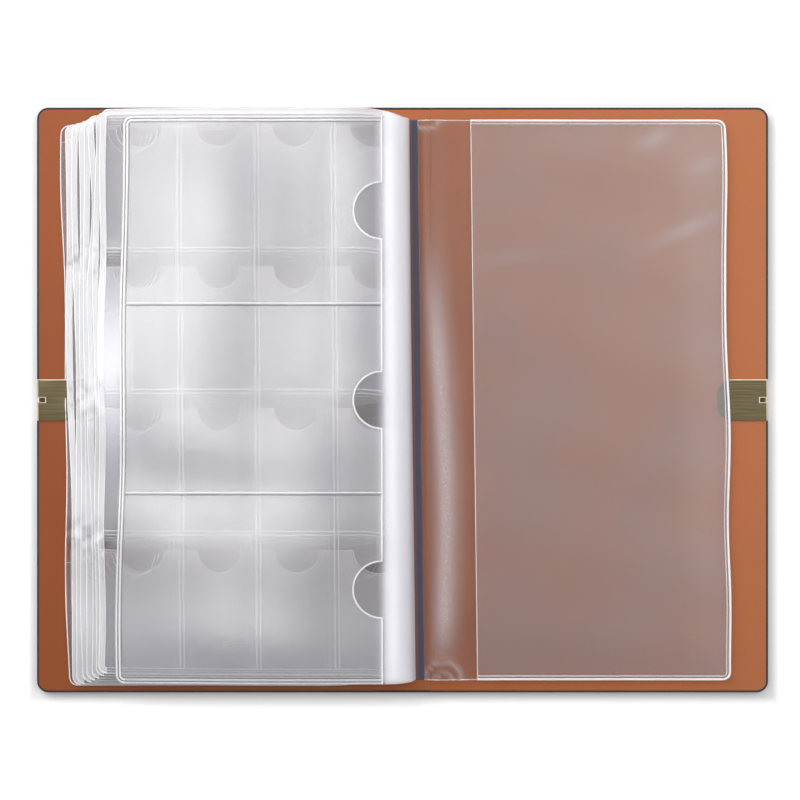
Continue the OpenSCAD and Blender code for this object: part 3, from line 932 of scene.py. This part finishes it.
# %% [markdown]
# ## End leaf
#
# The end leaf lies alone on the right, over the lining, and its plain film beside the gutter stands up in a
# soft hump before it lies down. A simulation would put the hump where it likes, so it is drawn: a bell
# across the leaf, on a line that sways, with pleats and curls. Along the hump, round the curls and on a few
# patches of the pocket the film is whitened as a painted highlight.

# %% Hump and creases
HUMP_U, HUMP_W, HUMP_H = 5.0, 5.0, 1.8
HUMP_SWAY, SWAY_V, SWAY_WAVE = 2.4, -38.0, 38.0
HUMP_HEAD, HEAD_RUN, HUMP_TAIL, TAIL_RUN = 80.0, 70.0, -105.0, 30.0
HUMP_LEAST, HUMP_FROM, HUMP_RUN = 0.4, -1.5, 3.0
# Strength and width of the painted highlight along the hump, and its strength round the curls.
HUMP_GLINT, HUMP_GLINT_W = 0.62, 4.2
CURL_GLINT = 0.7 * HUMP_GLINT
# A pleat has its distance from the hump's line, its width and its height.
PLEATS = ((-3.0, 1.4, 0.10), (2.5, 2.0, 0.15))
# A curl has its centre, its radius, its width and its height.
CURLS = (((5.4, -99.5), 6.5, 1.0, 0.6), ((5.9, -100.0), 3.0, 0.9, 0.45), ((2.0, 101.0), 5.0, 1.0, 0.4))
# A painted highlight on the pocket has its centre, its angle in degrees, its length, its width and its
# strength.
PAINTED_GLINTS = (
    ((94.0, 60.7), 23, 13.6, 2.4, 0.22), ((82.6, 92.5), 27, 7.0, 3.0, 0.22),
    ((100.0, 83.2), 28, 6.0, 2.4, 0.18), ((32.0, 50.7), 5, 13.0, 2.4, 0.10))


def bell(distance, width):
    return np.exp(-((distance / width) ** 2))


def hump_line(v):
    return HUMP_U + HUMP_SWAY * np.cos((v - SWAY_V) / SWAY_WAVE)


def hump_share(v):
    """The hump is full along the middle of the leaf and dies out at both ends."""
    return smooth((HUMP_HEAD - v) / HEAD_RUN) * smooth((v - HUMP_TAIL) / TAIL_RUN)


def painted_crease_highlights(u, v):
    """Painted highlights on the end leaf: along the hump, round the curls and on a few patches of the pocket.
    """
    milky = HUMP_GLINT * hump_share(v) * bell(u - hump_line(v), HUMP_GLINT_W)
    for (cu, cv), radius, width, _ in CURLS:
        milky = np.maximum(milky, CURL_GLINT * bell(np.hypot(u - cu, v - cv) - radius, width))
    for (cu, cv), degrees, length, width, strength in PAINTED_GLINTS:
        c, s = math.cos(math.radians(degrees)), math.sin(math.radians(degrees))
        along, across = c * (u - cu) + s * (v - cv), c * (v - cv) - s * (u - cu)
        milky = np.maximum(milky, strength * bell(along, length) * bell(across, width))
    return milky


def hump(u, v):
    """The soft hump beside the gutter, with pleats that run down it and a few curled folds at its ends."""
    aside, share = u - hump_line(v), hump_share(v)
    rise = HUMP_H * (HUMP_LEAST + (1 - HUMP_LEAST) * share) * bell(aside, HUMP_W)
    for middle, width, height in PLEATS:
        rise += height * share * bell(aside - middle, width)
    for (cu, cv), radius, width, height in CURLS:
        rise += height * bell(np.hypot(u - cu, v - cv) - radius, width)
    return rise * smooth((u - HUMP_FROM) / HUMP_RUN)


# %% [markdown]
# The end leaf has one tall pocket, open towards the gutter, so its pocket film begins past the hump. Its
# root stands a little nearer to the gutter than in the frame. The base film has a finer grid than the
# others, to carry the small curls.

# %% End leaf
END_ROOT_IN = 1.0
END_ROOT_STRIP = 16.8 + END_ROOT_IN
END_GRID = 1.5
END_BEADS, END_BEAD_H = {"outer": (0.4, 0.75), "inner": (1.55, 0.35)}, 0.45
PLAIN_FROM, PLAIN_IN, PLAIN_W, PLAIN_H = -1.0, 0.3, 0.4, 0.3
end_leaf = read_leaf("end_leaf", 1, ROOT_LEAN, 0.0, 0.0, end_ripple, whitening=painted_crease_highlights)
end_leaf["bend_x"] -= END_ROOT_IN
end_leaf["flat"] += END_ROOT_IN


def end_rise(u, v):
    seams = [-leaf_h / 2, leaf_h / 2]
    swell = smooth(nearest(u, [end_leaf["flat"]]) / CARD_SWELL) * smooth(nearest(v, seams) / CARD_SWELL)
    return hump(u, v) + FILM_T + POCKET_GAP * swell


end_root = -end_leaf["bend_r"] * math.pi / 2
end_outline = tab_line(end_root, end_leaf["flat"], leaf_h, CORNER_R)
end_base = film_sheet("end_leaf_film", end_leaf, [end_outline], hump, END_GRID)
dress(end_base, end_leaf, clear_film, "film", "root", "sheet")
pocket_outline = tab_line(END_ROOT_STRIP, end_leaf["flat"], leaf_h, CORNER_R)
end_pocket = film_sheet("end_leaf_pocket_film", end_leaf, [pocket_outline], end_rise)
dress(end_pocket, end_leaf, frosted_film, "film", "pockets")
end_lines = edge_lines(END_ROOT_STRIP, end_leaf["flat"], END_BEAD_H, **END_BEADS)
dress(seam_lines("end_leaf_welds", end_leaf, end_lines, weld_rise), end_leaf, bright_seam, "seam", "seams")
plain_ends = (PLAIN_IN - leaf_h / 2, leaf_h / 2 - PLAIN_IN)
plain_edges = [([(PLAIN_FROM, v), (END_ROOT_STRIP, v)], PLAIN_W, PLAIN_H) for v in plain_ends]
dress(seam_lines("end_leaf_plain_edges", end_leaf, plain_edges, hump, END_GRID), end_leaf, rim_seam, "seam")
end_mouth = [(END_ROOT_STRIP, -leaf_h / 2), (END_ROOT_STRIP, leaf_h / 2)]
end_rim = seam_lines("end_leaf_mouth", end_leaf, [(end_mouth, RIM_W, RIM_W)], end_rise)
dress(end_rim, end_leaf, bright_seam, "seam")
print("end leaf flat length in mm:", round(end_leaf["flat"], 1))

# %% [markdown]
# ## Binding strip
#
# The roots of all leaves are welded to a navy strip. It leans with them, its long sides are rounded over,
# and its face is not quite flat, so it is drawn as a ribbon of crosswise rows from one long side to the
# other. A brown line runs along the foot of the leaves, and an attribute on the ribbon says where.

# %% Binding strip
BINDING_ROWS = 80
BROWN_EDGE, BROWN_FADE = 0.86, 0.04
strip_low, strip_high = (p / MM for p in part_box("binding_strip"))
strip_right = end_leaf["bend_x"] - end_leaf["bend_r"]
strip_wave = make_ripple(height=0.12, wave_low=20, wave_high=60, count=5)


def binding_ribbon():
    """A ribbon with a profile that goes up one long side, over the face and down the other side."""
    t = strip_high.z - strip_low.z
    side = np.array([(0.0, 0.0), (0.0, 0.5), (0.02, 0.85), (0.06, 1.0)])
    face = np.array([0.3, 0.7, BROWN_EDGE - BROWN_FADE, BROWN_EDGE])
    across = np.concatenate([side[:, 0], face, 1 - side[::-1, 0]])
    up = np.concatenate([side[:, 1], np.ones(len(face)), side[::-1, 1]]) * t
    count = len(across)
    points, faces = [], []
    for y in np.linspace(strip_low.y, strip_high.y, BINDING_ROWS):
        x = strip_low.x + (strip_right - strip_low.x) * across - y * math.tan(ROOT_LEAN)
        x += strip_wave(x, np.full(count, y))
        points += [*(np.column_stack([x, np.full(count, y), strip_low.z + up]) * MM)]
    for i in range(BINDING_ROWS - 1):
        for j in range(count):
            a, b = i * count + j, i * count + (j + 1) % count
            faces.append((b, a, a + count, b + count))
    faces.append(tuple(range(count)))
    faces.append(tuple(reversed(range((BINDING_ROWS - 1) * count, BINDING_ROWS * count))))
    mesh = bpy.data.meshes.new("binding_ribbon")
    mesh.from_pydata(points, [], faces)
    browned = np.tile(smooth((BROWN_EDGE - across) / BROWN_FADE), BINDING_ROWS)
    mesh.attributes.new("browned", "FLOAT", "POINT").data.foreach_set("value", browned)
    mesh.shade_smooth()
    mesh.set_sharp_from_angle(angle=SHARP_ANGLE)
    mesh.materials.append(finishes["strip"])
    return bpy.data.objects.new("binding_ribbon", mesh)


ribbon = binding_ribbon()
scene.collection.objects.link(ribbon)
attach(ribbon, "spine")
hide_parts("binding_strip")
print("binding strip from", round(strip_low.x, 2), "to", round(strip_right, 2), "mm")

# %% [markdown]
# ## Hinges
#
# Between spine and covers the skin and the lining carry on without a board, and fold. Each is a copy of its
# strip with many cuts across the fold.

# %% Hinges
FOLD_CUTS = 10


def fold_strip(name, layer):
    low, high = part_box(f"{name}_{layer}")
    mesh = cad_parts[f"{name}_{layer}"].data.copy()
    piece = bpy.data.objects.new(f"{name}_{layer}_fold", mesh)
    scene.collection.objects.link(piece)
    shape = bmesh.new()
    shape.from_mesh(mesh)
    bmesh.ops.remove_doubles(shape, verts=shape.verts, dist=SAME_POINT)
    for i in range(1, FOLD_CUTS):
        x = low.x + (high.x - low.x) * i / FOLD_CUTS
        everything = [*shape.verts, *shape.edges, *shape.faces]
        bmesh.ops.bisect_plane(shape, geom=everything, plane_co=(x, 0, 0), plane_no=(1, 0, 0))
    shape.to_mesh(mesh)
    shape.free()
    mesh.materials.clear()
    mesh.materials.append(finishes[layer])
    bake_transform(piece)
    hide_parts(f"{name}_{layer}")
    print(piece.name, "width in mm:", round((high.x - low.x) / MM, 2))


for layer in ("skin", "lining"):
    fold_strip("front_hinge", layer)
    fold_strip("back_hinge", layer)

# %% [markdown]
# ## Studio
#
# The photograph has a pure white ground with a soft shadow to the right and below, so the main light is
# large and stands at the upper left. It isn't mirrored, or the glossy films would glare from low angles.
# Two boxes hang overhead for the films to mirror, one for the card leaf and one for the fan of fore-edges,
# and a softbox on the right draws the bright line along the bend of the leaves.

# %% Studio
def soft_light(name, place, aim, size, power, mirrored=True):
    lamp = bpy.data.lights.new(name, "AREA")
    lamp.shape = "RECTANGLE"
    lamp.size, lamp.size_y = size
    lamp.energy = power
    lamp_object = bpy.data.objects.new(name, lamp)
    lamp_object.location = place
    lamp_object.rotation_euler = (Vector(aim) - Vector(place)).to_track_quat("-Z", "Y").to_euler()
    lamp_object.visible_glossy = mirrored
    scene.collection.objects.link(lamp_object)


soft_light("main", (-0.50, 0.60, 0.50), (0, 0, 0), (0.70, 0.70), 7.4, mirrored=False)
soft_light("overhead", (-0.205, 0.12, 1.0), (-0.205, 0.12, 0), (0.22, 0.56), 1.25)
soft_light("fan", (-0.47, 0.13, 1.0), (-0.47, 0.13, 0), (0.30, 0.50), 1.1)
soft_light("side", (0.47, 0.18, 0.80), (0, 0, 0), (1.1, 0.5), 4.6)
print("lights:", [lamp.name for lamp in bpy.data.lights])

# %% [markdown]
# The world gives a weak even light, but is white to the camera, and bright low down where the films mirror
# it. A bright world would be simpler, but it would wash out the shadow and the brown lining.

# %% World
WORLD_LIGHT = 0.18
HORIZON_LIGHT, HORIZON_UP = 1.0, 0.6
ZENITH_LIGHT, ZENITH_UP = 0.4, 0.98
world = bpy.data.worlds.new("studio")
scene.world = world
world.use_nodes = True
world.node_tree.nodes.clear()
tree = world.node_tree
ray = add_node(tree, "ShaderNodeLightPath").outputs
seen = combine(tree, "MAXIMUM", ray["Is Camera Ray"], ray["Is Transmission Ray"])
strength = between(tree, seen, WORLD_LIGHT, 1.0, 0.0, 1.0)
up = add_node(tree, "ShaderNodeSeparateXYZ", {0: add_node(tree, "ShaderNodeTexCoord").outputs["Generated"]})
ceiling = between(tree, up.outputs["Z"], HORIZON_LIGHT, ZENITH_LIGHT, HORIZON_UP, ZENITH_UP)
mirrored = add_node(tree, "ShaderNodeMix", {0: ray["Is Glossy Ray"], 2: strength, 3: ceiling})
backdrop = add_node(tree, "ShaderNodeBackground", {"Color": (1, 1, 1, 1), "Strength": mirrored.outputs[0]})
add_node(tree, "ShaderNodeOutputWorld", {"Surface": backdrop.outputs[0]})
print("world light:", WORLD_LIGHT)

# %% [markdown]
# The floor is white paper that keeps the shadow. A glow that only the camera sees grows with the distance
# from the cover, so that the ground ends in pure white and throws no light on the album. The glow begins only
# a little past the cover, so a band of floor round it stays darker: a painted shadow.

# %% Floor
FLOOR_SIZE, FLOOR_DOWN = 3.0, 0.2 * MM
FLOOR_COLOUR = (0.87, 0.87, 0.87, 1)
# A glow has its strength, and where it begins and is full past the edge of the cover.
# The near glow leaves a narrow band round the cover darker: a painted shadow.
NEAR_GLOW = (0.34, 2.2 * MM, 6 * MM)
FAR_GLOW = (1.0, 0.1, 1.0)

floor_mesh = bpy.data.meshes.new("floor")
square = ((-1, -1), (1, -1), (1, 1), (-1, 1))
corners = [(x * FLOOR_SIZE, y * FLOOR_SIZE, -FLOOR_DOWN) for x, y in square]
floor_mesh.from_pydata(corners, [], [(0, 1, 2, 3)])
floor = bpy.data.objects.new("floor", floor_mesh)
scene.collection.objects.link(floor)
floor_finish, tree = start_finish("white_floor")
paper = add_node(tree, "ShaderNodeBsdfDiffuse", {"Color": FLOOR_COLOUR})
ray = add_node(tree, "ShaderNodeLightPath").outputs["Is Camera Ray"]
place = add_node(tree, "ShaderNodeTexCoord").outputs["Object"]
axes = add_node(tree, "ShaderNodeSeparateXYZ", {0: place}).outputs
past = [combine(tree, "SUBTRACT", combine(tree, "ABSOLUTE", axes[i]), cad_box[1][i]) for i in range(2)]
beside = combine(tree, "MAXIMUM", *past)
near, far = between(tree, beside, 0.0, *NEAR_GLOW), between(tree, beside, 0.0, *FAR_GLOW)
white = combine(tree, "MULTIPLY", ray, combine(tree, "MAXIMUM", near, far))
glow = add_node(tree, "ShaderNodeEmission", {"Strength": white})
end_finish(tree, add_node(tree, "ShaderNodeAddShader", {0: paper.outputs[0], 1: glow.outputs[0]}))
floor_mesh.materials.append(floor_finish)
print("floor below the cover in mm:", round(FLOOR_DOWN / MM, 2))

# %% [markdown]
# The plain view transform shows a colour as it is written. Ten leaves of film lie over each other, so a ray
# may have to pass through a great many skins before it meets the lining.

# %% View
SKINS_PASSED = 128

scene.view_settings.view_transform = "Standard"
scene.cycles.transparent_max_bounces = SKINS_PASSED
print("view transform:", scene.view_settings.view_transform)
